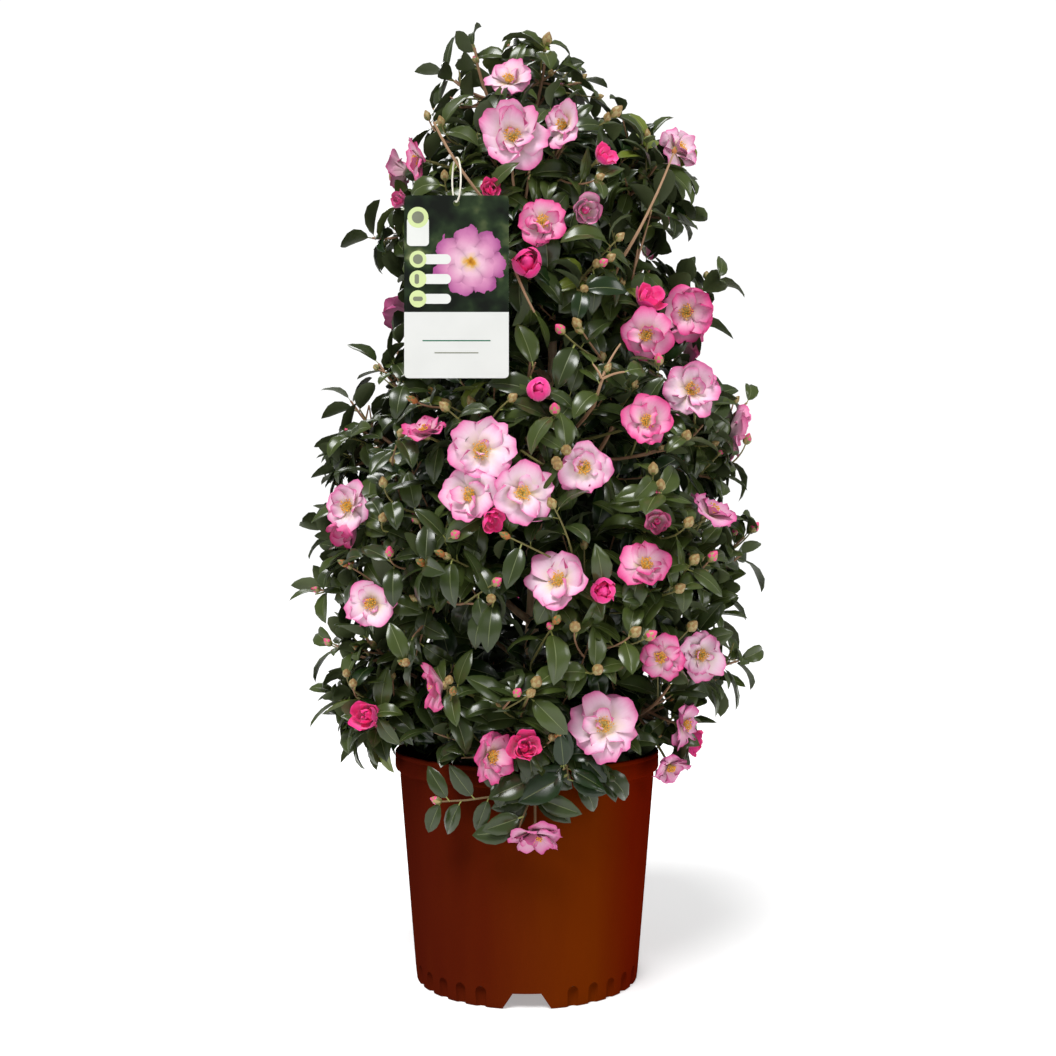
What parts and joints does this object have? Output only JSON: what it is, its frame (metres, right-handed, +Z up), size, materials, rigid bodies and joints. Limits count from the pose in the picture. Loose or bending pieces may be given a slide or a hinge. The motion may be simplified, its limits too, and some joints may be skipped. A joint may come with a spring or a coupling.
{
  "type": "potted camellia shrub",
  "caption": "Upright evergreen camellia shrub in pink and white bloom, standing in a round nursery pot with a hanging plant label.",
  "frame": {"origin": "centre of the plant's box at the pot's flat underside, within a few millimetres of the middle of the pot", "axes": "+Z up along the stem; the side that faces the viewer is -Y and +X is to its right"},
  "size_m": [0.51, 0.48, 1.0028],
  "materials": {
    "pot": "satin",
    "soil": "matte",
    "bark": "matte",
    "foliage": "satin",
    "label": "satin",
    "tie": "matte"
  },
  "bodies": {
    "root": {"pot": "pot", "potting_mix": "soil", "stem": "bark", "bough_skirt_1": "bark", "bough_skirt_2": "bark", "bough_skirt_3": "bark", "bough_skirt_4": "bark", "bough_skirt_5": "bark", "bough_lower_1": "bark", "bough_lower_2": "bark", "bough_lower_3": "bark", "bough_lower_4": "bark", "bough_lower_5": "bark", "bough_middle_1": "bark", "bough_middle_2": "bark", "bough_middle_3": "bark", "bough_middle_4": "bark", "bough_upper_1": "bark", "bough_upper_2": "bark", "bough_upper_3": "bark", "bough_upper_4": "bark", "bough_shoulder_1": "bark", "bough_shoulder_2": "bark", "bough_shoulder_3": "bark", "foliage_skirt_1": "foliage", "foliage_skirt_2": "foliage", "foliage_skirt_3": "foliage", "foliage_skirt_4": "foliage", "foliage_skirt_5": "foliage", "foliage_lower_1": "foliage", "foliage_lower_2": "foliage", "foliage_lower_3": "foliage", "foliage_lower_4": "foliage", "foliage_lower_5": "foliage", "foliage_middle_1": "foliage", "foliage_middle_2": "foliage", "foliage_middle_3": "foliage", "foliage_middle_4": "foliage", "foliage_upper_1": "foliage", "foliage_upper_2": "foliage", "foliage_upper_3": "foliage", "foliage_upper_4": "foliage", "foliage_shoulder_1": "foliage", "foliage_shoulder_2": "foliage", "foliage_shoulder_3": "foliage", "foliage_top": "foliage", "label_card": "label", "label_tie": "tie"}
  },
  "joints": []
}
